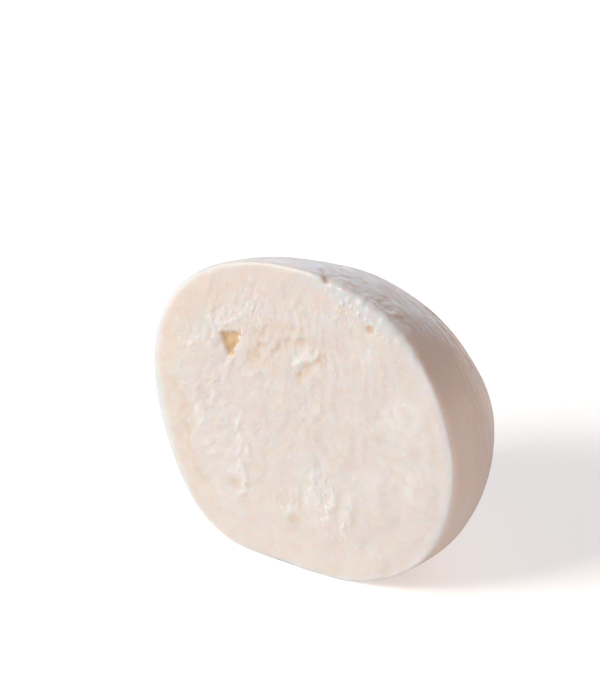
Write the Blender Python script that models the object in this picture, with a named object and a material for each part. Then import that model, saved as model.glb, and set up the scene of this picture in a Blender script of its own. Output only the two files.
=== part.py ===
"""Half of a fresh stretched-curd cheese ball, one solid piece standing on its slack underside.

Metres, +Z up. The cut face is upright and looks along -Y, the skinned dome swells towards +Y, and
the flattened underside lies on z = 0. The origin is on that plane, under the middle of the piece.
Places on the cut are (across, up): across from its middle, up from the resting plane. A bearing
goes round the middle of the cut in degrees: 0 is +X and 90 is up.
"""

import math

import bmesh
import bpy
from mathutils import Vector, noise

MM = 0.001

# The ball as the knife left it
RADIUS = 37.7 * MM  # of the cut outline between its soft corners
DEPTH = 39.0 * MM  # from the cut face to the back of the dome
MIDDLE_UP = 37.5 * MM  # the middle of the cut stands this high, so the underside is squashed flat
BASE_EASE = 0.8 * MM  # height over which the squashed underside turns up into the sides
RIM_ROLL = 0.9 * MM  # radius over which the skin's cut edge is rolled
CURD_COLOUR = (0.80, 0.68, 0.57, 1.0)

# Soft corners that the slack ball settles into: bearing, half-width in degrees, and height
SOFT_CORNERS = (
    (-125.0, 24.0, 3.6 * MM),
    (-42.0, 37.0, 3.9 * MM),
    (56.0, 54.0, 2.3 * MM),
    (139.0, 38.0, 3.9 * MM),
)

# The dome's section is a superellipse, fuller where the weight pushes it out: bearing, half-width
# and what it adds to the exponent
FULLNESS = 2.1
FULLER_PLACES = ((-90.0, 42.0, 0.5), (5.0, 40.0, 0.4))
DOME_DRIFT = Vector((7.0 * MM, 0.0, -5.5 * MM))  # how far the dome's tip has sunk from the axis
LUMP_SIZE = 17.0 * MM
LUMP_HEIGHT = 0.5 * MM

# Pleats gathered in the skin round the tip, where the ball was pinched off: bearing at the tip and
# at the outer end, start and end as shares of the way to the rim, half-width and depth
PLEATS = (
    (158.0, 112.0, 0.03, 0.80, 2.0 * MM, 1.0 * MM),
    (48.0, 78.0, 0.08, 0.60, 1.8 * MM, 0.7 * MM),
    (-50.0, -14.0, 0.05, 0.50, 1.8 * MM, 0.7 * MM),
    (222.0, 190.0, 0.10, 0.62, 1.8 * MM, 0.8 * MM),
)

# Relief of the cut
FACE_CROWN = 0.7 * MM  # the curd swells a little once the skin no longer holds it
FACE_WAVE = 0.25 * MM  # height of the slow waves that the knife leaves
WAVE_SIZE = 12.0 * MM
# The main hole is where three small gas holes ran together: across, up and radius of each
MAIN_HOLE = (
    (-19.6 * MM, 56.6 * MM, 1.9 * MM),
    (-16.2 * MM, 57.3 * MM, 1.7 * MM),
    (-18.2 * MM, 53.4 * MM, 1.9 * MM),
)
MAIN_HOLE_DEPTH = 3.0 * MM
SMALL_HOLES = (
    (18.9 * MM, 67.7 * MM, 1.0 * MM),
    (-16.5 * MM, 17.8 * MM, 1.0 * MM),
    (1.0 * MM, 13.5 * MM, 0.9 * MM),
)
SMALL_HOLE_DEPTH = 1.2 * MM
# Seams of torn curd: across and up of the two ends, half-width and height, all in mm; a negative
# height is a crease
SEAMS = (
    (-23.5, 60.2, -17.0, 60.2, 1.1, 0.7),
    (-17.0, 60.2, -8.9, 67.4, 1.3, 0.6),
    (-11.0, 53.8, -7.5, 56.5, 1.1, -0.6),
    (-3.5, 57.6, 2.2, 61.1, 1.1, -0.6),
    (1.5, 50.6, 7.7, 58.1, 1.0, -1.0),
    (0.2, 54.4, 5.4, 60.0, 1.1, 0.5),
    (-15.3, 36.1, -16.7, 22.2, 1.0, 0.5),
    (-16.7, 22.2, -14.3, 16.0, 1.0, 0.5),
    (-28.8, 26.7, -26.2, 17.8, 1.2, 0.5),
    (-26.2, 17.8, -23.9, 12.9, 1.2, 0.5),
    (0.4, 23.5, -1.0, 14.4, 1.2, 0.5),
    (9.0, 26.2, 6.9, 16.0, 1.1, 0.4),
)

# The two square nets that the cut and the skin are drawn on, welded along the rim
NET = 44  # squares along each side
FLAT_SHARE = 20.0 / 22.0  # share of the cut's rings that are inside its rolled edge
HOLE_CUTS = 3  # extra cuts in the net near a hole
HOLE_REACH = 1.8  # how many radii from a hole's middle they reach
FACE_REACH = 2.5 * MM  # the relief of the cut dies out this far behind it


def turn_between(bearing, other):
    return (bearing - other + 180.0) % 360.0 - 180.0


def swell(bearing, middle, half_width):
    """1 at the middle bearing, falling smoothly away on both sides of it."""
    return math.exp(-((turn_between(bearing, middle) / half_width) ** 2))


def cut_radius(bearing):
    corners = (height * swell(bearing, middle, width) for middle, width, height in SOFT_CORNERS)
    return RADIUS + sum(corners)


def on_cut(share, bearing):
    """The point that is this share of the way from the middle of the cut to its rim."""
    radius = cut_radius(bearing) * share
    turn = math.radians(bearing)
    return Vector((radius * math.cos(turn), 0.0, MIDDLE_UP + radius * math.sin(turn)))


def cut_point(ring, bearing):
    """A point of the cut; beyond FLAT_SHARE it follows the rolled edge back to the skin."""
    rolled = RIM_ROLL / RADIUS
    if ring <= FLAT_SHARE:
        return on_cut((1.0 - rolled) * ring / FLAT_SHARE, bearing)
    turn = (ring - FLAT_SHARE) / (1.0 - FLAT_SHARE) * math.pi / 2.0
    back = Vector((0.0, RIM_ROLL * (1.0 - math.cos(turn)), 0.0))
    return on_cut(1.0 - rolled * (1.0 - math.sin(turn)), bearing) + back


def pleat_depth(ring, bearing):
    total = 0.0
    for tip_bearing, end_bearing, start, end, half_width, depth in PLEATS:
        along = (ring - start) / (end - start)
        if 0.0 < along < 1.0:
            middle = tip_bearing + (end_bearing - tip_bearing) * math.sqrt(along)
            off = math.radians(turn_between(bearing, middle)) * ring * math.pi / 2.0 * RADIUS
            fade = math.sqrt(math.sin(math.pi * along))
            total += depth * fade * math.exp(-((off / half_width) ** 2))
    return total


def skin_point(ring, bearing):
    """A point of the skin; ring 1 is its rim round the cut and 0 is the tip of the dome."""
    fullness = FULLNESS
    for middle, half_width, more in FULLER_PLACES:
        fullness += more * swell(bearing, middle, half_width)
    rise = (1.0 - ring) * math.pi / 2.0
    inward = max(math.cos(rise), 0.0) ** (2.0 / fullness)
    back = math.sin(rise) ** (2.0 / fullness)
    behind = Vector((0.0, RIM_ROLL + (DEPTH - RIM_ROLL) * back, 0.0))
    point = on_cut(inward, bearing) + behind + DOME_DRIFT * back
    outward = (point - Vector((0.0, 0.0, MIDDLE_UP))).normalized()
    lumps = LUMP_HEIGHT * noise.noise(point / LUMP_SIZE) * min((1.0 - ring) * 5.0, 1.0)
    return point + outward * (lumps - pleat_depth(ring, bearing))


def sunk(across, up, holes, depth):
    """Depth of a group of round holes that run together, with steep sides and a soft bottom."""
    nearness = 0.0
    for middle, height, radius in holes:
        nearness += math.exp(-(((across - middle) ** 2 + (up - height) ** 2) / radius**2))
    full = min(max((nearness - 0.25) / 0.6, 0.0), 1.0)
    return depth * full * full * (3.0 - 2.0 * full)


def seam_height(across, up):
    total = 0.0
    for across0, up0, across1, up1, half_width, height in SEAMS:
        start = Vector((across0, up0)) * MM
        run = Vector((across1, up1)) * MM - start
        here = Vector((across, up)) - start
        along = min(max(here.dot(run) / run.length_squared, 0.0), 1.0)
        off = (here - run * along).length / (half_width * MM)
        total += height * MM * math.exp(-(off**2))
    return total


def cut_relief(across, up):
    """How far the cut stands out of its plane, towards -Y."""
    bearing = math.degrees(math.atan2(up - MIDDLE_UP, across))
    share = min(math.hypot(across, up - MIDDLE_UP) / cut_radius(bearing), 1.0)
    inside = min((1.0 - share) * 12.0, 1.0)
    wave = FACE_WAVE * noise.noise(Vector((across, 0.0, up)) / WAVE_SIZE)
    holes = sunk(across, up, MAIN_HOLE, MAIN_HOLE_DEPTH)
    holes += sunk(across, up, SMALL_HOLES, SMALL_HOLE_DEPTH)
    return FACE_CROWN * (1.0 - share**4) + inside * (wave + seam_height(across, up) - holes)


def squashed(up):
    """Height after what lies below the resting plane is pressed onto it, with an eased turn."""
    if up <= -BASE_EASE:
        return 0.0
    if up >= BASE_EASE:
        return up
    return (up + BASE_EASE) ** 2 / (4.0 * BASE_EASE)


def draw_net(bm, point_of):
    """A square net whose nested squares become rings, each corner placed by point_of."""
    net = bmesh.ops.create_grid(bm, x_segments=NET, y_segments=NET, size=1.0)["verts"]
    for vert in net:
        across, up, _ = vert.co
        ring = max(abs(across), abs(up))
        if abs(across) >= abs(up):
            bearing = 45.0 * up / across if ring > 0.0 else 0.0
            bearing += 0.0 if across >= 0.0 else 180.0
        else:
            bearing = 90.0 - 45.0 * across / up
            bearing += 0.0 if up >= 0.0 else 180.0
        vert.co = point_of(min(ring, 1.0), bearing)


def near_a_hole(vert):
    return any(
        math.hypot(vert.co.x - across, vert.co.z - up) < radius * HOLE_REACH
        for across, up, radius in MAIN_HOLE + SMALL_HOLES
    )


def half_ball_mesh():
    bm = bmesh.new()
    draw_net(bm, cut_point)
    round_holes = [edge for edge in bm.edges if any(near_a_hole(vert) for vert in edge.verts)]
    bmesh.ops.subdivide_edges(bm, edges=round_holes, cuts=HOLE_CUTS, use_grid_fill=True)
    draw_net(bm, skin_point)
    bmesh.ops.remove_doubles(bm, verts=bm.verts, dist=0.01 * MM)
    bmesh.ops.recalc_face_normals(bm, faces=bm.faces)
    bmesh.ops.triangulate(bm, faces=bm.faces)
    for vert in bm.verts:
        fade = min(max(1.0 - vert.co.y / FACE_REACH, 0.0), 1.0)
        vert.co.y -= cut_relief(vert.co.x, vert.co.z) * fade
        vert.co.z = squashed(vert.co.z)
    return bm


def stand_over_origin(bm):
    """Moves the mesh so that the origin is under the middle of its box."""
    across = [vert.co.x for vert in bm.verts]
    back = [vert.co.y for vert in bm.verts]
    middle = Vector((min(across) + max(across), min(back) + max(back), 0.0)) / 2.0
    bmesh.ops.translate(bm, verts=bm.verts, vec=-middle)


def curd_material():
    """Fresh curd under a thin wet skin: warm white, and smooth enough to shine a little."""
    material = bpy.data.materials.new("fresh_curd")
    material.use_nodes = True
    material.diffuse_color = CURD_COLOUR
    shader = material.node_tree.nodes["Principled BSDF"]
    shader.inputs["Base Color"].default_value = CURD_COLOUR
    shader.inputs["Roughness"].default_value = 0.38
    shader.inputs["Metallic"].default_value = 0.0
    return material


def make_half_ball():
    bm = half_ball_mesh()
    stand_over_origin(bm)
    mesh = bpy.data.meshes.new("cheese_half")
    bm.to_mesh(mesh)
    bm.free()
    mesh.materials.append(curd_material())
    mesh.shade_smooth()
    bpy.context.collection.objects.link(bpy.data.objects.new("cheese_half", mesh))


for leftover in list(bpy.data.objects):
    bpy.data.objects.remove(leftover, do_unlink=True)
make_half_ball()
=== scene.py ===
import math

import bmesh
import bpy
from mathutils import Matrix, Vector, noise


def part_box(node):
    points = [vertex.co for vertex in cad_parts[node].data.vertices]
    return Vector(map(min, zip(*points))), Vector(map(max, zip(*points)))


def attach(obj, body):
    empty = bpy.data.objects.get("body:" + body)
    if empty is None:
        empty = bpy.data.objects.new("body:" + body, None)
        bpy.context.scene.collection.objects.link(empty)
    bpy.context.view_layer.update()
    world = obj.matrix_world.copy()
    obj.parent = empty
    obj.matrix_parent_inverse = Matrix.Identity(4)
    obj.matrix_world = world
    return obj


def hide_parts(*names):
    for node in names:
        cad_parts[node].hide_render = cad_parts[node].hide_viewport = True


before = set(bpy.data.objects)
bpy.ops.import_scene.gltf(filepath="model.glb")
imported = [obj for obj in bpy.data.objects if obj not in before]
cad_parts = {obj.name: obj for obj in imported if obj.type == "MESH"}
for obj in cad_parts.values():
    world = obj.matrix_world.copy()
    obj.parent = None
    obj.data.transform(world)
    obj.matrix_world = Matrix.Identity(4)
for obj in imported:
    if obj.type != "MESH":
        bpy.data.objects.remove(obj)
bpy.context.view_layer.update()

# ---------------------------------------------------------------------------------------------
# The halved ball. Stretched curd is pulled and folded while hot, so it is dense, moist and full
# of short fibres, with a thin smooth skin where it was shaped in water. The knife left the
# upright cut, and the slack ball has settled onto its squashed underside.

MM = 0.001
RADIUS = 37.7 * MM  # of the cut outline between its soft corners
DEPTH = 39.0 * MM  # from the cut face to the back of the dome
MIDDLE_UP = 37.5 * MM
BASE_EASE = 0.8 * MM
RIM_ROLL = 0.45 * MM  # radius of the rim's edge where it is sharpest, on the right
SOFTER_ROLLS = ((170.0, 75.0, 0.8 * MM), (63.0, 23.0, 1.9 * MM))  # as for the corners
SOFT_CORNERS = (
    (-125.0, 24.0, 3.6 * MM),
    (-37.0, 36.0, 3.9 * MM),
    (56.0, 54.0, 2.3 * MM),
    (139.0, 38.0, 3.9 * MM),
)
FULLNESS = 2.1
FULLER_PLACES = ((-90.0, 42.0, 0.5), (5.0, 40.0, 0.4))
DOME_DRIFT = Vector((7.0 * MM, 0.0, -5.5 * MM))
LUMP_SIZE = 17.0 * MM
LUMP_HEIGHT = 0.5 * MM
PLEATS = (
    (158.0, 112.0, 0.03, 0.80, 2.0 * MM, 1.0 * MM),
    (48.0, 78.0, 0.08, 0.60, 1.8 * MM, 0.7 * MM),
    (-50.0, -14.0, 0.05, 0.50, 1.8 * MM, 0.7 * MM),
    (222.0, 190.0, 0.10, 0.62, 1.8 * MM, 0.8 * MM),
)
NET = 184  # squares along each side of the nets that the cut and the skin are drawn on
FLAT_SHARE = 88.0 / 92.0


def turn_between(bearing, other):
    return (bearing - other + 180.0) % 360.0 - 180.0


def swell(bearing, middle, half_width):
    """1 at the middle bearing, falling smoothly away on both sides of it."""
    return math.exp(-((turn_between(bearing, middle) / half_width) ** 2))


def eased(value, low, high):
    """0 below low, 1 above high, and a soft step between them."""
    share = min(max((value - low) / (high - low), 0.0), 1.0)
    return share * share * (3.0 - 2.0 * share)


def cut_radius(bearing):
    corners = (height * swell(bearing, middle, width) for middle, width, height in SOFT_CORNERS)
    return RADIUS + sum(corners)


def rim_roll(bearing):
    return RIM_ROLL + sum(
        more * swell(bearing, middle, half_width) for middle, half_width, more in SOFTER_ROLLS
    )


def on_cut(share, bearing):
    """The point that is this share of the way from the middle of the cut to its rim."""
    radius = cut_radius(bearing) * share
    turn = math.radians(bearing)
    return Vector((radius * math.cos(turn), 0.0, MIDDLE_UP + radius * math.sin(turn)))


def cut_point(ring, bearing):
    """A point of the cut; beyond FLAT_SHARE it follows the rolled edge back to the skin."""
    roll = rim_roll(bearing)
    rolled = roll / RADIUS
    if ring <= FLAT_SHARE:
        return on_cut((1.0 - rolled) * ring / FLAT_SHARE, bearing)
    turn = (ring - FLAT_SHARE) / (1.0 - FLAT_SHARE) * math.pi / 2.0
    back = Vector((0.0, roll * (1.0 - math.cos(turn)), 0.0))
    return on_cut(1.0 - rolled * (1.0 - math.sin(turn)), bearing) + back


def pleat_depth(ring, bearing):
    total = 0.0
    for tip_bearing, end_bearing, start, end, half_width, depth in PLEATS:
        along = (ring - start) / (end - start)
        if 0.0 < along < 1.0:
            middle = tip_bearing + (end_bearing - tip_bearing) * math.sqrt(along)
            off = math.radians(turn_between(bearing, middle)) * ring * math.pi / 2.0 * RADIUS
            fade = math.sqrt(math.sin(math.pi * along))
            total += depth * fade * math.exp(-((off / half_width) ** 2))
    return total


def skin_point(ring, bearing):
    """A point of the skin; ring 1 is its rim round the cut and 0 is the tip of the dome."""
    fullness = FULLNESS
    for middle, half_width, more in FULLER_PLACES:
        fullness += more * swell(bearing, middle, half_width)
    rise = (1.0 - ring) * math.pi / 2.0
    inward = max(math.cos(rise), 0.0) ** (2.0 / fullness)
    back = math.sin(rise) ** (2.0 / fullness)
    roll = rim_roll(bearing)
    behind = Vector((0.0, roll + (DEPTH - roll) * back, 0.0))
    point = on_cut(inward, bearing) + behind + DOME_DRIFT * back
    outward = (point - Vector((0.0, 0.0, MIDDLE_UP))).normalized()
    lumps = LUMP_HEIGHT * noise.noise(point / LUMP_SIZE) * min((1.0 - ring) * 5.0, 1.0)
    return point + outward * (lumps - pleat_depth(ring, bearing))


def squashed(up):
    """Height after what lies below the resting plane is pressed onto it, with an eased turn."""
    if up <= -BASE_EASE:
        return 0.0
    if up >= BASE_EASE:
        return up
    return (up + BASE_EASE) ** 2 / (4.0 * BASE_EASE)


# Relief of the cut, in millimetres from here on: places are across from its middle and up.
FACE_CROWN = 0.6
FACE_WAVES = ((11.0, 0.36), (5.0, 0.18))  # size and height
# Walls of the main hole, clockwise: where each begins and how wide its slope is
HOLE_WALLS = (
    (-20.3, 57.6, 2.2),
    (-13.2, 59.7, 0.7),
    (-14.5, 55.2, 0.6),
    (-16.7, 50.4, 1.0),
    (-19.1, 53.0, 2.6),
)
HOLE_DEPTH = 1.0
# Pinholes, shallower and paler the more they are closed: place, radius and share
PINHOLES = ((19.4, 67.6, 1.15, 0.85), (-16.4, 18.0, 2.0, 0.30), (0.6, 13.6, 1.8, 0.32))
PINHOLE_DEPTH = 0.5
# Seams of torn curd: the two ends, half-width and height; a negative height is a crease
SEAMS = (
    (-21.9, 60.8, -20.8, 55.6, 0.7, 0.36),
    (-13.2, 59.7, -17.0, 50.2, 0.5, 0.30),
    (-20.4, 59.2, -15.2, 61.0, 0.9, 0.36),
    (-15.0, 61.6, -9.2, 68.3, 1.1, 0.12),
    (-23.9, 57.3, -21.9, 52.6, 1.1, 0.22),
    (-28.2, 50.5, -25.0, 55.0, 1.1, 0.15),
    (-10.9, 52.3, -8.4, 56.3, 1.5, -0.32),
    (-9.2, 58.6, -4.6, 62.4, 1.2, -0.16),
    (-4.6, 62.4, 1.8, 63.0, 1.2, -0.16),
    (-4.1, 57.0, -0.8, 59.6, 1.3, -0.22),
    (-0.8, 59.6, 3.1, 60.3, 1.2, -0.18),
    (1.6, 50.6, 4.6, 54.6, 1.1, -0.26),
    (4.6, 54.6, 8.2, 58.2, 1.0, -0.24),
    (1.2, 54.8, 4.6, 57.4, 1.1, 0.34),
    (-2.8, 60.9, 1.8, 62.2, 1.1, 0.20),
    (-14.2, 37.8, -14.9, 33.0, 0.8, 0.32),
    (-13.9, 31.0, -14.8, 26.6, 0.8, 0.28),
    (-12.4, 30.0, -12.2, 25.4, 0.8, 0.22),
    (-14.2, 24.6, -12.9, 17.0, 0.8, 0.30),
    (-12.9, 17.0, -15.0, 15.4, 1.1, 0.20),
    (-26.5, 40.0, -25.0, 31.0, 1.3, 0.20),
    (-20.8, 45.5, -21.8, 37.5, 1.1, 0.20),
    (1.8, 24.2, 0.6, 18.8, 1.2, 0.15),
    (-2.0, 14.8, 0.6, 15.9, 1.1, 0.32),
    (6.2, 27.6, 4.4, 19.4, 1.0, 0.26),
    (11.4, 26.6, 9.6, 16.6, 1.1, 0.28),
    (15.4, 24.0, 13.6, 14.0, 1.1, 0.20),
)
# Low smooth swellings: place, half-widths and height
SWELLINGS = (
    (37.0, 42.0, 8.0, 15.0, 0.35),
    (-27.0, 46.0, 4.0, 9.0, 0.20),
    (-22.5, 23.0, 5.0, 6.0, 0.12),
    (16.0, 40.0, 7.0, 9.0, -0.10),
)
# Patches where the curd crumbled under the knife: place, radius and share
CRUMBLED = (
    (-17.0, 60.6, 2.9, 1.0),
    (-10.5, 65.0, 4.0, 0.75),
    (-23.0, 55.5, 2.8, 0.6),
    (4.0, 56.5, 3.0, 0.5),
    (-0.5, 17.5, 4.0, 0.6),
    (8.5, 21.0, 5.5, 0.5),
    (13.0, 13.0, 4.0, 0.4),
    (-14.5, 21.0, 3.5, 0.2),
    (-27.0, 53.0, 3.5, 0.4),
    (13.0, 71.0, 4.0, 0.7),
)
# Whiter patches, painted light that brightens places the lamps leave dimmer: place, radius and share
PAINTED_LIGHT_PATCHES = (
    (-19.0, 25.0, 6.5, 0.8),
    (6.0, 21.0, 7.5, 0.7),
    (30.0, 48.0, 7.0, 0.8),
    (31.0, 33.0, 6.0, 0.6),
    (23.0, 44.0, 6.0, 0.5),
    (23.0, 27.0, 6.5, 0.5),
    (-20.5, 13.5, 5.0, 0.5),
    (-17.5, 60.3, 3.2, 0.6),
    (19.0, 63.0, 6.0, 0.5),
)
GRAIN_SPACING = 1.05
GRAIN_HEIGHT = 0.28
STRAY_GRAINS = 0.08  # share of the grains that show all over the cut
# Single wet crumbs that the knife left near the torn rim: place and radius
CRUMBS = (
    (24.0, 69.0, 0.45),
    (21.0, 67.0, 0.30),
    (19.3, 62.0, 0.35),
    (13.4, 73.2, 0.40),
    (12.0, 72.2, 0.30),
    (29.6, 63.2, 0.40),
    (16.4, 70.6, 0.35),
)
CRUMB_HEIGHT = 0.35
FIBRE_LEANS = (32.0, -12.0)  # degrees to the right of upright, on the left and on the right
# Soft lumps where bundles of fibres end: width, length along the fibres and height
SMALL_LUMPS = (1.0, 1.35, 0.08)
MIDDLING_LUMPS = (2.2, 3.1, 0.23)
# The outer curd was kneaded smooth: the fibres start this far inside the rim, over a low step
KNEADED = 7.5
STEP_HEIGHT = 0.30
STEP_BEARINGS = (200.0, 30.0)  # middle and half-width
PAINTED_GLOW_BEARINGS = (160.0, 70.0)  # where a warm glow is painted over the kneaded curd: painted light that shines through the rim
# On the right a shallow groove runs this far inside the rim, where the skin parts from the curd
PARTING = 3.0
PARTING_DEPTH = 0.16
PARTING_BEARINGS = (-5.0, 38.0)  # middle and half-width
# The knife crumbled the rim round this bearing and left it bevelled
TORN_RIM = (66.0, 20.0)  # middle and half-width
TORN_WIDTH = 4.0
RIM_DROP = 0.9
# Along the rim the curd is paler, in a band this wide, wider on the right and most on the left, and
# duller at the top; on the left the band is a painted highlight, where the rounded edge catches light
RIM_BAND = 1.3
RIGHT_RIM = (-10.0, 50.0)
RIGHT_RIM_WIDER = 1.1
LEFT_RIM = (187.0, 38.0)
LEFT_RIM_WIDER = 2.0
TOP_RIM = (98.0, 32.0)


def holed(across, up):
    """Shares of the full depth of the main hole, with its torn outline, and of the pinholes."""
    small = sum(
        share * eased(math.exp(-((across - middle) ** 2 + (up - height) ** 2) / radius**2), 0.1, 0.95)
        for middle, height, radius, share in PINHOLES
    )
    torn = Vector((across, 3.0, up))
    across += 0.9 * noise.noise(torn / 1.6) + 0.3 * noise.noise(torn / 0.7)
    up += 0.9 * noise.noise(torn / 1.6 + Vector((9.0, 0.0, 0.0)))
    main = 1.0
    for (across0, up0, slope), (across1, up1, _) in zip(HOLE_WALLS, HOLE_WALLS[1:] + HOLE_WALLS[:1]):
        run_across = across1 - across0
        run_up = up1 - up0
        off = run_up * (across - across0) - run_across * (up - up0)
        main *= eased(off / math.hypot(run_across, run_up), -0.3, slope)
    return main, small


def seam_height(across, up):
    """Ridges and creases whose lines wander and whose height comes and goes along them."""
    place = Vector((across, 0.0, up))
    across += 0.7 * noise.noise(place / 2.3) + 0.2 * noise.noise(place / 0.9)
    up += 0.7 * noise.noise(place / 2.3 + Vector((0.0, 7.0, 0.0)))
    ridge = 0.0
    crease = 0.0
    for across0, up0, across1, up1, half_width, height in SEAMS:
        run_across = across1 - across0
        run_up = up1 - up0
        along = ((across - across0) * run_across + (up - up0) * run_up) / (run_across**2 + run_up**2)
        along = min(max(along, 0.0), 1.0)
        off = (across - across0 - along * run_across) ** 2 + (up - up0 - along * run_up) ** 2
        if off < 9.0 * half_width**2:
            share = math.exp(-off / half_width**2)
            if height > 0.0:
                ridge = max(ridge, height * share)
            else:
                crease = max(crease, -height * share)
    ragged = 0.85 + 0.8 * noise.noise(place / 1.7)
    return ridge * ragged, crease * (0.9 + 0.7 * noise.noise(place / 1.6))


def patched(across, up, patches):
    """How far a place lies inside round patches with soft edges."""
    shares = (
        share * math.exp(-((across - middle) ** 2 + (up - height) ** 2) / radius**2)
        for middle, height, radius, share in patches
    )
    return min(sum(shares), 1.0)


def fibre_place(across, up):
    """A place measured over and along the fibres, which fan out from left to right."""
    left, right = FIBRE_LEANS
    lean = math.radians(left + (right - left) * eased(across, -30.0, 34.0))
    return across - (up - MIDDLE_UP / MM) * math.tan(lean), up


def lump_height(across, up):
    """Both kinds of lumps, a little bolder on the left and low on the cut."""
    over, along = fibre_place(across, up)
    width, length, height = SMALL_LUMPS
    small = height * noise.noise(Vector((over / width, 1.0, along / length)))
    width, length, height = MIDDLING_LUMPS
    middling = height * noise.noise(Vector((over / width, 5.0, along / length)))
    patch = 0.55 + 0.45 * eased(noise.noise(Vector((across / 8.0, 8.0, up / 9.0))), -0.3, 0.3)
    patch *= 1.15 - 0.2 * eased(across, -14.0, 6.0) * eased(up, 16.0, 32.0)
    return (small + middling) * patch


def grain_height(across, up, share):
    """Rounded grains of torn curd, of which this share are there."""
    spot = Vector((across, 2.0, up / 1.25)) / GRAIN_SPACING
    distances, points = noise.voronoi(spot)
    size = 0.5 + 0.25 * noise.noise(points[0] * 5.3)
    if noise.cell(points[0] * 9.7) > share or distances[0] > size:
        return 0.0
    return (1.0 - (distances[0] / size) ** 2) ** 1.5


def smooth_border(across, up, inside):
    """0 in the kneaded outer curd, and 1 in the stringy curd inside it."""
    ragged = 2.6 * noise.noise(Vector((across, 4.0, up)) / 5.0)
    ragged += 0.5 * noise.noise(Vector((across, 9.0, up)) / 1.5)
    return eased(inside + ragged, KNEADED - 2.4, KNEADED + 2.4)


def cut_relief(across, up, bearing, share, inside):
    """Height in mm towards -Y, and the shares of what colours the curd there."""
    main, small = holed(across, up)
    ridge, crease = seam_height(across, up)
    crumbling = patched(across, up, CRUMBLED)
    torn = swell(bearing, *TORN_RIM) * (1.0 - eased(inside, 0.5 * TORN_WIDTH, 1.2 * TORN_WIDTH))
    stringy = smooth_border(across, up, inside)
    step = swell(bearing, *STEP_BEARINGS)
    height = 0.85 * ridge - crease
    height += lump_height(across, up) * (0.5 + 0.5 * stringy) * (1.0 - 0.7 * torn)
    for middle, level, half_width, half_height, swing in SWELLINGS:
        off = ((across - middle) / half_width) ** 2 + ((up - level) / half_height) ** 2
        height += swing * math.exp(-off)
    for size, swing in FACE_WAVES:
        height += swing * noise.noise(Vector((across, 0.0, up)) / size)
    height += STEP_HEIGHT * (stringy - 1.0) * step
    parting = math.exp(-(((inside - PARTING) / 0.8) ** 2)) * swell(bearing, *PARTING_BEARINGS)
    grains = grain_height(across, up, max(crumbling, torn, STRAY_GRAINS))
    loose = 0.35 + 0.65 * max(crumbling, 0.5 * torn)
    loose *= 1.0 - torn * (1.0 - eased(inside, 1.4, 2.8))
    height += GRAIN_HEIGHT * loose * grains
    crumb = max(
        math.exp(-((across - middle) ** 2 + (up - level) ** 2) / radius**2)
        for middle, level, radius in CRUMBS
    )
    height += CRUMB_HEIGHT * crumb - HOLE_DEPTH * main - PINHOLE_DEPTH * small
    height -= PARTING_DEPTH * parting * (0.7 + noise.noise(Vector((across, 6.0, up)) / 4.0))
    height *= min(inside / 1.6, 1.0)
    # painted highlight: the tops of ridges, grains and crumbs are painted whiter, as if they caught the
    # light
    crest_highlight = max(ridge / 0.5, grains * loose, crumb)
    height += FACE_CROWN * (1.0 - share**4)
    bevel = max(1.0 - inside / TORN_WIDTH, 0.0)
    height -= RIM_DROP * torn * bevel
    streak = noise.noise(Vector((across, 2.0, up)) / 2.5)
    shares = {
        # the holes are tinted ochre, partly as painted shade of their depth
        "hollow": max(eased(main, 0.0, 0.85), 0.8 * small),
        # painted shade: the creases and the groove at the low step are tinted tan
        "crease": max(crease / 0.4, 0.55 * step * math.sin(math.pi * stringy) ** 2),
        # painted glow: the kneaded band is tinted warm, standing in for light that shines through the
        # rim
        "kneaded": (1.0 - stringy) * swell(bearing, *PAINTED_GLOW_BEARINGS),
        "crest_highlight": min(crest_highlight, 1.0),
        "torn": torn,
        # painted light: whiter streaky patches where the curd is made to look brighter
        "painted_light_patch": patched(across, up, PAINTED_LIGHT_PATCHES) * (0.7 + 1.2 * streak),
    }
    return height, shares


def cut_place(vert):
    """Across, up, bearing, share of the way out to the rim, and distance inside it."""
    across = vert.co.x / MM
    up = vert.co.z / MM
    bearing = math.degrees(math.atan2(up - MIDDLE_UP / MM, across))
    outline = cut_radius(bearing) / MM
    out = math.hypot(across, up - MIDDLE_UP / MM)
    return across, up, bearing, min(out / outline, 1.0), max(outline - out, 0.0)


def draw_net(bm, point_of, layers):
    """A square net whose nested squares become rings, each corner placed by point_of."""
    net = bmesh.ops.create_grid(bm, x_segments=NET, y_segments=NET, size=1.0)["verts"]
    for vert in net:
        across, up, _ = vert.co
        ring = min(max(abs(across), abs(up)), 1.0)
        if abs(across) >= abs(up):
            bearing = 45.0 * up / across if ring > 0.0 else 0.0
            bearing += 0.0 if across >= 0.0 else 180.0
        else:
            bearing = 90.0 - 45.0 * across / up
            bearing += 0.0 if up >= 0.0 else 180.0
        vert.co = point_of(ring, bearing)
        vert[layers["ring"]] = ring
    return net


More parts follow.
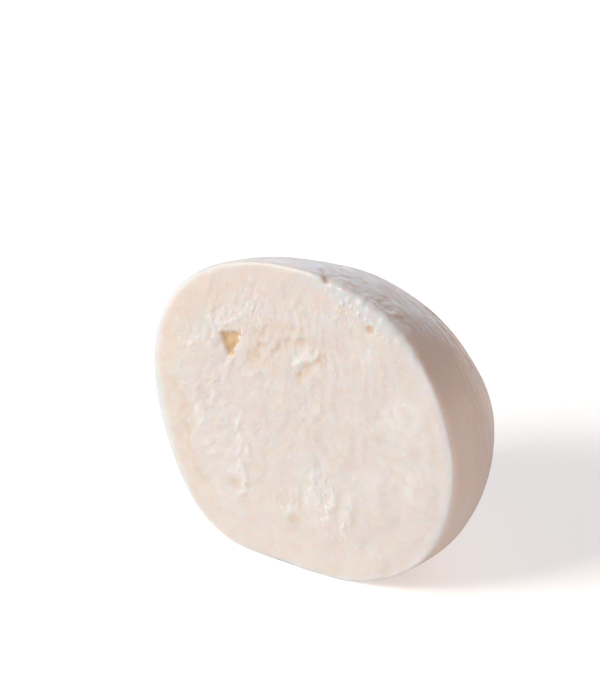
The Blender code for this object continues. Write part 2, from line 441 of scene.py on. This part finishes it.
half_ball = bmesh.new()
layers = {
    name: half_ball.verts.layers.float.new(name)
    for name in (
        "ring", "rim", "hollow", "crease", "crest_highlight", "kneaded", "painted_light_patch", "torn", "notch",
        "film", "fold", "gathered", "pleat_and_bounce",
    )
}
fibre_way = half_ball.verts.layers.float_vector.new("fibre_way")
draw_net(half_ball, cut_point, layers)
fine_parts = set()
for vert in half_ball.verts:
    across, up, bearing, share, inside = cut_place(vert)
    _, shares = cut_relief(across, up, bearing, share, inside)
    torn_or_holed = max(shares["hollow"], shares["torn"], patched(across, up, CRUMBLED))
    if torn_or_holed > 0.1 or max(seam_height(across, up)) > 0.02:
        fine_parts.update(vert.link_edges)
bmesh.ops.subdivide_edges(half_ball, edges=list(fine_parts), cuts=1, use_grid_fill=True)
for vert in half_ball.verts:
    across, up, bearing, share, inside = cut_place(vert)
    height, shares = cut_relief(across, up, bearing, share, inside)
    fade = min(inside / max(rim_roll(bearing) / MM, 0.6), 1.0)
    vert.co.y = max(vert.co.y, 0.0) - height * MM * fade
    left = swell(bearing, *LEFT_RIM)
    band = RIM_BAND + RIGHT_RIM_WIDER * swell(bearing, *RIGHT_RIM) + LEFT_RIM_WIDER * left
    band += 0.5 * noise.noise(Vector((across, 0.0, up)) / 4.0)
    dull = 1.0 - 0.6 * swell(bearing, *TOP_RIM)
    vert[layers["rim"]] = dull * (1.0 - eased(inside, (0.12 + 0.2 * left) * band, 1.2 * band))
    for name, share in shares.items():
        vert[layers[name]] = share
    over, along = fibre_place(across, up)
    vert[fibre_way] = Vector((over, 0.0, along))
for face in {face for vert in draw_net(half_ball, skin_point, layers) for face in vert.link_faces}:
    face.material_index = 1

# Relief of the skin, in millimetres: wrinkles run round the ball, level with its rim
WRINKLE_HEIGHT = 0.11
WRINKLE_LENGTH = 8.0
WRINKLE_WIDTH = 1.3
FLAKE_HEIGHT = 0.27  # of the skin that lifted where the rim is torn
GATHERED = (22.0, 42.0)  # bearing and half-width of the place where the skin is drawn together
# Sharp folds there: bearing and distance behind the cut of both ends, half-width and height
FOLDS = (
    (56.0, 19.2, 9.0, 26.8, 0.50, 0.50),
    (45.0, 17.4, 22.0, 21.0, 0.42, 0.36),
    (42.0, 22.6, 14.0, 28.2, 0.45, 0.44),
    (33.0, 13.2, 27.0, 14.6, 0.28, 0.24),
    (64.0, 1.8, 54.0, 6.0, 0.32, 0.26),
)
FOLD_RADIUS = 39.0  # of the ball where they lie
FOLD_BEARINGS = (5.0, 68.0)  # all folds lie between these
FOLDS_END = 31.0  # and no further behind the cut than this
# Painted light on the skin: paler in a strip behind the rim, widest at the top, and warm bounce light
# painted peach low on the right
PAINTED_LIGHT_STRIP = (95.0, 25.0)  # middle bearing and half-width
WARM_BOUNCE_LOW = (-60.0, 26.0)
WARM_BOUNCE_SHARE = 0.75


def fold_height(bearing, behind, place):
    """Height of the sharp folds; their lines wander a little and come and go."""
    if not (FOLD_BEARINGS[0] < bearing < FOLD_BEARINGS[1] and behind < FOLDS_END):
        return 0.0
    around = math.radians(bearing) * FOLD_RADIUS + 0.5 * noise.noise(place / 3.0)
    behind += 0.7 * noise.noise(place / 4.5)
    best = 0.0
    for bearing0, behind0, bearing1, behind1, half_width, height in FOLDS:
        around0 = math.radians(bearing0) * FOLD_RADIUS
        run_around = math.radians(bearing1) * FOLD_RADIUS - around0
        run_behind = behind1 - behind0
        along = (around - around0) * run_around + (behind - behind0) * run_behind
        along = min(max(along / (run_around**2 + run_behind**2), 0.0), 1.0)
        off = math.hypot(around - around0 - along * run_around, behind - behind0 - along * run_behind)
        if off < 3.0 * half_width:
            taper = min(8.0 * along * (1.0 - along), 1.0)
            best = max(best, height * taper * math.exp(-((off / half_width) ** 2)))
    return best * (0.8 + 0.6 * noise.noise(place / 2.0))


def film_share(bearing, behind, place):
    """Where a torn flap of skin, opaque with whey, lies over the ball behind the torn rim."""
    edge = 41.0 + 12.0 * math.exp(-behind / 5.0)
    ragged = 3.0 * noise.noise(place / 4.0) + 1.5 * noise.noise(place / 1.5)
    share = eased(bearing + ragged, edge - 1.0, edge + 2.5) * (1.0 - eased(bearing, 90.0, 125.0))
    return share * (1.0 - eased(behind + ragged, 16.0, 30.0))


def skin_place(vert):
    """Bearing, distance behind the cut and the whole place, the last two in millimetres."""
    place = vert.co / MM
    return math.degrees(math.atan2(place.z - MIDDLE_UP / MM, place.x)), place.y, place


fine_parts = set()
for face in half_ball.faces:
    if face.material_index == 1:
        bearing, behind, place = skin_place(face.verts[0])
        if fold_height(bearing, behind, place) > 0.003:
            for vert in face.verts:
                fine_parts.update(vert.link_edges)
bmesh.ops.subdivide_edges(half_ball, edges=list(fine_parts), cuts=2, use_grid_fill=True)
half_ball.normal_update()
for vert in {vert for face in half_ball.faces if face.material_index == 1 for vert in face.verts}:
    bearing, behind, place = skin_place(vert)
    gathered = swell(bearing, *GATHERED) * eased(behind, 6.0, 16.0)
    along_wrinkles = Vector((place.x / WRINKLE_LENGTH, behind / WRINKLE_WIDTH, place.z / WRINKLE_LENGTH))
    wrinkle = noise.noise(along_wrinkles)
    away = min((1.0 - vert[layers["ring"]]) * 30.0, 1.0)
    torn = swell(bearing, *TORN_RIM) * (1.0 - eased(behind, 3.0, 14.0))
    fold = fold_height(bearing, behind, place)
    vert[layers["film"]] = film_share(bearing, behind, place)
    # painted highlight: the sharp folds are painted white, as if they caught the light
    vert[layers["fold"]] = min(fold / 0.25, 1.0)
    vert[layers["gathered"]] = gathered
    # painted warm bounce light low on the right, carried with the peach of the pleats
    warm = WARM_BOUNCE_SHARE * swell(bearing, *WARM_BOUNCE_LOW) * eased(behind, 2.0, 8.0)
    vert[layers["pleat_and_bounce"]] = min(pleat_depth(vert[layers["ring"]], bearing) / (0.8 * MM) + warm, 1.0)
    # painted light: the skin is painted whiter in blotches behind the torn rim and in a strip behind the
    # rim
    painted_light_blotch = swell(bearing, *TORN_RIM) * (0.55 + 1.1 * noise.noise(place / 1.8))
    top = swell(bearing, *PAINTED_LIGHT_STRIP)
    painted_light_strip = (0.6 + 0.4 * top) * (1.0 - eased(behind, 0.5, 2.4 + 3.0 * top))
    vert[layers["rim"]] = max(painted_light_strip, painted_light_blotch * (1.0 - eased(behind, 0.5, 5.5)))
    flake = 0.5 - abs(noise.noise(place / 2.4)) * 2.0 + 0.5 * noise.noise(place / 1.1)
    height = WRINKLE_HEIGHT * wrinkle * (0.3 + 0.7 * gathered) + FLAKE_HEIGHT * flake * torn + fold
    vert.co += vert.normal * height * MM * away
bmesh.ops.remove_doubles(half_ball, verts=half_ball.verts, dist=0.01 * MM)
bmesh.ops.recalc_face_normals(half_ball, faces=half_ball.faces)
half_ball.normal_update()

# The knife dragged the rim out a little on the right and wore it down where it is torn: middle
# bearing, half-width and distance out, which fades over these distances inside and behind the rim
DRAGGED = ((1.0, 17.0, 0.6), (27.0, 32.0, 0.5), (68.0, 14.0, -0.35))
DRAGGED_INSIDE = 6.0
DRAGGED_BEHIND = 9.0
# The torn rim is ragged, as the right one is a little, and a notch runs back near the top
RAGGED_HEIGHT = 0.30
NOTCH = (Vector((8.3, 0.0, 76.4)), Vector((4.8, 4.2, 76.8)))
NOTCH_WIDTH = 0.65
NOTCH_DEPTH = 0.45
for vert in half_ball.verts:
    place = vert.co / MM
    bearing = math.degrees(math.atan2(place.z - MIDDLE_UP / MM, place.x))
    inside = cut_radius(bearing) / MM - math.hypot(place.x, place.z - MIDDLE_UP / MM)
    off_rim = max(inside, place.y - rim_roll(bearing) / MM, 0.0)
    ragged = swell(bearing, *TORN_RIM) + 0.35 * swell(bearing, 10.0, 40.0)
    ragged *= 1.0 - eased(off_rim, 1.0, 3.5)
    if ragged > 0.01:
        lump = noise.noise(place / 2.4) + 0.5 * noise.noise(place / 1.2)
        vert.co += vert.normal * RAGGED_HEIGHT * MM * ragged * lump
    near_rim = (1.0 - eased(inside, 0.0, DRAGGED_INSIDE)) * (1.0 - eased(place.y, 0.0, DRAGGED_BEHIND))
    if near_rim > 0.01:
        outward = Vector((place.x, 0.0, place.z - MIDDLE_UP / MM)).normalized()
        out_by = sum(shift * swell(bearing, middle, width) for middle, width, shift in DRAGGED)
        vert.co += outward * out_by * MM * near_rim
    run = NOTCH[1] - NOTCH[0]
    along = min(max((place - NOTCH[0]).dot(run) / run.length_squared, 0.0), 1.0)
    off = (place - NOTCH[0] - run * along).length
    if off < 2.5 * NOTCH_WIDTH:
        share = math.exp(-((off / NOTCH_WIDTH) ** 2)) * (1.0 - 0.4 * along)
        vert.co -= vert.normal * NOTCH_DEPTH * MM * share
        # the notch is also painted darker, as painted shade in the dent
        vert[layers["notch"]] = share
for vert in half_ball.verts:
    vert.co.z = squashed(vert.co.z)

low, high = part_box("cheese_half")
half_low = [min(vert.co[axis] for vert in half_ball.verts) for axis in range(3)]
half_high = [max(vert.co[axis] for vert in half_ball.verts) for axis in range(3)]
to_frame = Vector((high.x - half_high[0], high.y - half_high[1], 0.0))
to_frame.x = ((low.x + high.x) - (half_low[0] + half_high[0])) / 2.0
bmesh.ops.translate(half_ball, verts=half_ball.verts, vec=to_frame)
half_mesh = bpy.data.meshes.new("halved_ball")
half_ball.to_mesh(half_mesh)
half_ball.free()
half_mesh.shade_smooth()
halved_ball = bpy.data.objects.new("halved_ball", half_mesh)
bpy.context.scene.collection.objects.link(halved_ball)


def linear(hex_colour):
    """An sRGB colour such as #f3e6da as linear RGBA."""
    channels = []
    for start in (1, 3, 5):
        value = int(hex_colour[start : start + 2], 16) / 255.0
        channels.append(value / 12.92 if value <= 0.04045 else ((value + 0.055) / 1.055) ** 2.4)
    return (*channels, 1.0)


def add_node(tree, kind, settings=None, **inputs):
    """Adds a node; a value that is a socket is linked, and any other is set as the default."""
    node = tree.nodes.new(kind)
    for name, value in (settings or {}).items():
        setattr(node, name, value)
    for name, value in inputs.items():
        socket = node.inputs[int(name[1:]) if name[1:].isdigit() else name.replace("_", " ")]
        if isinstance(value, bpy.types.NodeSocket):
            tree.links.new(value, socket)
        else:
            socket.default_value = value
    return node


def new_material(name):
    material = bpy.data.materials.new(name)
    material.use_nodes = True
    material.node_tree.nodes.clear()
    return material


# Fresh curd: dense milk protein and fat, so light goes a few millimetres in and comes back warm.
# It is moist, so it shines softly. The holes are ochre, partly from whey in them and partly as painted
# shade of their depth.
FIBRE_WIDTH = 0.7 * MM
FIBRE_LENGTH = 1.2 * MM
MOTTLE_SIZE = 3.0 * MM
GRAIN_SIZE = 0.5 * MM
curd = new_material("fresh_curd")
tree = curd.node_tree
place = add_node(tree, "ShaderNodeTexCoord").outputs["Object"]
share_of = {
    name: add_node(tree, "ShaderNodeAttribute", {"attribute_name": name}).outputs["Fac"]
    for name in ("rim", "hollow", "crease", "crest_highlight", "kneaded", "painted_light_patch", "torn", "notch")
}
way = add_node(tree, "ShaderNodeAttribute", {"attribute_name": "fibre_way"}).outputs["Vector"]
over_fibres = add_node(
    tree, "ShaderNodeMapping", {"vector_type": "TEXTURE"}, Vector=way,
    Scale=(FIBRE_WIDTH / MM, 1.0, FIBRE_LENGTH / MM),
).outputs["Vector"]
fibres = add_node(
    tree, "ShaderNodeTexNoise", Vector=over_fibres, Scale=1.0, Detail=2.0, Roughness=0.5
).outputs["Fac"]
mottle = add_node(
    tree, "ShaderNodeTexNoise", Vector=place, Scale=1.0 / MOTTLE_SIZE, Detail=4.0, Roughness=0.6
).outputs["Fac"]
grain = add_node(
    tree, "ShaderNodeTexNoise", Vector=place, Scale=1.0 / GRAIN_SIZE, Detail=2.0, Roughness=0.6
).outputs["Fac"]
blush = add_node(
    tree, "ShaderNodeMapRange", Value=mottle, From_Min=0.36, From_Max=0.66
).outputs["Result"]
# painted glow over the kneaded band, mottled
kneaded = add_node(
    tree, "ShaderNodeMath", {"operation": "MULTIPLY"}, _0=share_of["kneaded"], _1=mottle
).outputs["Value"]
# the rim band is whiter on the left: a painted highlight where the rounded edge catches the light
rim_colour = add_node(
    tree, "ShaderNodeMix", {"data_type": "RGBA"},
    _0=share_of["kneaded"], _6=linear("#f1eeed"), _7=linear("#fdfbf8"),
).outputs[2]
# Each colour is laid over those before it, as far as its share says
colour = linear("#f0e9e4")
for share, over in (
    (blush, linear("#f1e4db")),
    # painted glow of light through the rim, over the kneaded band
    (kneaded, linear("#f4e1d1")),
    # painted light: whiter patches
    (share_of["painted_light_patch"], linear("#f6f0eb")),
    # painted highlight on ridges, grains and crumbs
    (share_of["crest_highlight"], linear("#faf7f3")),
    # painted shade in the creases and the step groove
    (share_of["crease"], linear("#ecd6be")),
    # paler rim band, with a painted highlight on the left
    (share_of["rim"], rim_colour),
    (share_of["torn"], linear("#ecebeb")),
    # painted shade in the notch
    (share_of["notch"], linear("#cdb1a6")),
    # ochre in the holes: whey, with painted shade of their depth
    (share_of["hollow"], linear("#eac9a0")),
):
    colour = add_node(
        tree, "ShaderNodeMix", {"data_type": "RGBA"}, _0=share, _6=colour, _7=over
    ).outputs[2]
relief = add_node(
    tree, "ShaderNodeMath", {"operation": "MULTIPLY_ADD"}, _0=fibres, _1=1.0, _2=grain
).outputs["Value"]
bump = add_node(
    tree, "ShaderNodeBump", Height=relief, Strength=0.55, Distance=0.12 * MM
).outputs["Normal"]
roughness = add_node(
    tree, "ShaderNodeMapRange", Value=grain, From_Min=0.3, From_Max=0.7, To_Min=0.28, To_Max=0.50,
).outputs["Result"]
shader = add_node(
    tree, "ShaderNodeBsdfPrincipled", Base_Color=colour, Roughness=roughness, Normal=bump,
    Subsurface_Weight=1.0, Subsurface_Radius=(1.0, 0.62, 0.42), Subsurface_Scale=1.7 * MM,
)
add_node(tree, "ShaderNodeOutputMaterial", Surface=shader.outputs["BSDF"])

# The skin: the same curd, drawn tight and glazed by the water that it was shaped in. A film of
# whey keeps it wet, so it has a sharp second shine. It is finely wrinkled round the ball, white
# where it lifted from the torn rim and peach in the pleats. Painted light: it is painted whiter
# behind the rim, its sharp folds get painted highlights, and low on the right it is painted peach
# as warm bounce light.
WRINKLE_SIZE = (7.0 * MM, 1.1 * MM, 7.0 * MM)
PATCH_SIZE = 7.0 * MM
PEBBLE_SIZE = 1.4 * MM  # of the small bumps in the film
CLOUD_SIZE = (5.0 * MM, 2.8 * MM, 5.0 * MM)
skin = new_material("wet_curd_skin")
tree = skin.node_tree
place = add_node(tree, "ShaderNodeTexCoord").outputs["Object"]
share_of = {
    name: add_node(tree, "ShaderNodeAttribute", {"attribute_name": name}).outputs["Fac"]
    for name in ("rim", "film", "fold", "gathered", "pleat_and_bounce", "notch")
}
round_ball = add_node(
    tree, "ShaderNodeMapping", {"vector_type": "TEXTURE"}, Vector=place, Scale=WRINKLE_SIZE
).outputs["Vector"]
wrinkles = add_node(
    tree, "ShaderNodeTexNoise", Vector=round_ball, Scale=1.0, Detail=4.0, Roughness=0.6,
    Distortion=0.3,
).outputs["Fac"]
patches = add_node(
    tree, "ShaderNodeTexNoise", Vector=place, Scale=1.0 / PATCH_SIZE, Detail=5.0, Roughness=0.6
).outputs["Fac"]
pebbles = add_node(
    tree, "ShaderNodeTexNoise", Vector=place, Scale=1.0 / PEBBLE_SIZE, Detail=3.0, Roughness=0.55
).outputs["Fac"]
over_film = add_node(
    tree, "ShaderNodeMapping", {"vector_type": "TEXTURE"}, Vector=place, Scale=CLOUD_SIZE
).outputs["Vector"]
clouds = add_node(
    tree, "ShaderNodeTexNoise", Vector=over_film, Scale=1.0, Detail=6.0, Roughness=0.62,
    Distortion=0.9,
).outputs["Fac"]
clearer = add_node(
    tree, "ShaderNodeMapRange", Value=patches, From_Min=0.35, From_Max=0.65
).outputs["Result"]
clouded = add_node(
    tree, "ShaderNodeMapRange", Value=clouds, From_Min=0.38, From_Max=0.62
).outputs["Result"]
film_colour = add_node(
    tree, "ShaderNodeMix", {"data_type": "RGBA"},
    _0=clouded, _6=linear("#dfd0c6"), _7=linear("#f4f4f6"),
).outputs[2]
fold_off = add_node(
    tree, "ShaderNodeMath", {"operation": "SUBTRACT"}, _0=wrinkles, _1=0.5
).outputs["Value"]
fold_off = add_node(tree, "ShaderNodeMath", {"operation": "ABSOLUTE"}, _0=fold_off).outputs["Value"]
thin_folds = add_node(
    tree, "ShaderNodeMapRange", {"interpolation_type": "SMOOTHSTEP"},
    Value=fold_off, From_Min=0.0, From_Max=0.04, To_Min=1.0, To_Max=0.0,
).outputs["Result"]
thin_folds = add_node(
    tree, "ShaderNodeMath", {"operation": "MULTIPLY"}, _0=thin_folds, _1=share_of["gathered"]
).outputs["Value"]
furrows = add_node(
    tree, "ShaderNodeMapRange", Value=wrinkles, From_Min=0.48, From_Max=0.68
).outputs["Result"]
furrows = add_node(
    tree, "ShaderNodeMath", {"operation": "MULTIPLY"}, _0=furrows, _1=share_of["gathered"]
).outputs["Value"]
colour = linear("#efe0d5")
for share, over in (
    (clearer, linear("#ece3dd")),
    (share_of["film"], film_colour),
    # peach in the pleats, and painted warm bounce light low on the right
    (share_of["pleat_and_bounce"], linear("#e9ccb9")),
    # painted light behind the rim
    (share_of["rim"], linear("#f8f7f7")),
    # painted shade in the notch
    (share_of["notch"], linear("#cdb1a6")),
    (furrows, linear("#dccdc3")),
    # painted highlight on the sharp folds
    (share_of["fold"], linear("#fcfafa")),
):
    colour = add_node(
        tree, "ShaderNodeMix", {"data_type": "RGBA"}, _0=share, _6=colour, _7=over
    ).outputs[2]
pebbly = add_node(
    tree, "ShaderNodeMapRange", Value=share_of["gathered"], To_Min=0.4, To_Max=1.2
).outputs["Result"]
relief = add_node(
    tree, "ShaderNodeMath", {"operation": "MULTIPLY_ADD"}, _0=pebbles, _1=pebbly, _2=wrinkles
).outputs["Value"]
relief = add_node(
    tree, "ShaderNodeMath", {"operation": "ADD"}, _0=relief, _1=thin_folds
).outputs["Value"]
bump = add_node(
    tree, "ShaderNodeBump", Height=relief, Strength=0.45, Distance=0.22 * MM
).outputs["Normal"]
shader = add_node(
    tree, "ShaderNodeBsdfPrincipled", Base_Color=colour, Roughness=0.4, Normal=bump,
    Subsurface_Weight=1.0, Subsurface_Radius=(1.0, 0.60, 0.40), Subsurface_Scale=1.5 * MM,
    Coat_Weight=0.62, Coat_Roughness=0.2, Coat_Normal=bump,
)
add_node(tree, "ShaderNodeOutputMaterial", Surface=shader.outputs["BSDF"])

half_mesh.materials.append(curd)
half_mesh.materials.append(skin)
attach(halved_ball, "root")
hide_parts("cheese_half")

# ---------------------------------------------------------------------------------------------
# The table, lights and camera: a plain white table top, a large soft lamp from the upper left in
# front, a cool one low behind that glazes the skin, a small warm one in the shade, and an even dim
# room. The table glows where it is seen, and less in the wet skin, but doesn't light the half.
TABLE_HALF = 3.0  # half its width, in metres
TABLE_GLOW = 0.45
GLOW_IN_GLOSS = 0.32  # share of the glow that the wet skin mirrors
table_bm = bmesh.new()
bmesh.ops.create_grid(table_bm, x_segments=1, y_segments=1, size=TABLE_HALF)
bmesh.ops.translate(table_bm, verts=table_bm.verts, vec=(0.0, 0.0, low.z))
table_mesh = bpy.data.meshes.new("table")
table_bm.to_mesh(table_mesh)
table_bm.free()
table = bpy.data.objects.new("table", table_mesh)
bpy.context.scene.collection.objects.link(table)
table_paint = new_material("matt_white_paint")
tree = table_paint.node_tree
light_path = add_node(tree, "ShaderNodeLightPath").outputs
seen = add_node(
    tree, "ShaderNodeMath", {"operation": "MULTIPLY_ADD"},
    _0=light_path["Is Glossy Ray"], _1=GLOW_IN_GLOSS, _2=light_path["Is Camera Ray"],
).outputs["Value"]
glow = add_node(
    tree, "ShaderNodeMath", {"operation": "MULTIPLY"}, _0=seen, _1=TABLE_GLOW
).outputs["Value"]
shader = add_node(
    tree, "ShaderNodeBsdfPrincipled", Base_Color=linear("#f6f3f0"), Roughness=0.9,
    Emission_Color=(1.0, 1.0, 1.0, 1.0), Emission_Strength=glow,
)
add_node(tree, "ShaderNodeOutputMaterial", Surface=shader.outputs["BSDF"])
table_mesh.materials.append(table_paint)

world = bpy.data.worlds.new("room")
bpy.context.scene.world = world
world.use_nodes = True
world.node_tree.nodes["Background"].inputs["Color"].default_value = linear("#f4f4f6")
world.node_tree.nodes["Background"].inputs["Strength"].default_value = 0.22

middle = Vector((0.0, 0.0, MIDDLE_UP))
# Each lamp: direction, distance, width, height, power and colour
LAMPS = {
    "key_softbox": ((-0.47, -0.69, 0.55), 3.0, 1.00, 1.00, 65.5, "#fffdfb"),
    "back_softbox": ((-0.31, 0.90, 0.34), 0.8, 0.86, 0.62, 1.95, "#eaf0fc"),
    "warm_fill": ((0.88, 0.32, 0.02), 0.7, 0.40, 0.34, 1.45, "#ffc29c"),
}
for name, (direction, distance, width, height, power, colour) in LAMPS.items():
    lamp_data = bpy.data.lights.new(name, "AREA")
    lamp_data.shape = "RECTANGLE"
    lamp_data.size = width
    lamp_data.size_y = height
    lamp_data.energy = power
    lamp_data.color = linear(colour)[:3]
    lamp = bpy.data.objects.new(name, lamp_data)
    lamp_from = Vector(direction).normalized()
    lamp.location = middle + lamp_from * distance
    lamp.rotation_euler = lamp_from.to_track_quat("Z", "Y").to_euler()
    lamp.visible_camera = False
    bpy.context.scene.collection.objects.link(lamp)

LENS = 100.0  # mm, on a 36 mm sensor
VIEW_HEIGHT = 0.1511  # what the frame takes in at the ball, in metres
AIM_BEHIND = 2.62 * MM  # the camera looks at a point this far behind the front of the cut
azimuth = math.radians(31.2)
elevation = math.radians(27.2)
back = Vector((
    math.sin(azimuth) * math.cos(elevation),
    -math.cos(azimuth) * math.cos(elevation),
    math.sin(elevation),
))
aim = Vector((0.0, low.y + AIM_BEHIND, 59.9 * MM))
camera_data = bpy.data.cameras.new("camera")
camera_data.lens = LENS
camera_data.clip_start = 0.01
camera = bpy.data.objects.new("camera", camera_data)
camera.location = aim + back * VIEW_HEIGHT * LENS / camera_data.sensor_width
camera.rotation_euler = back.to_track_quat("Z", "Y").to_euler()
bpy.context.scene.collection.objects.link(camera)
bpy.context.scene.camera = camera
bpy.context.scene.view_settings.view_transform = "Standard"
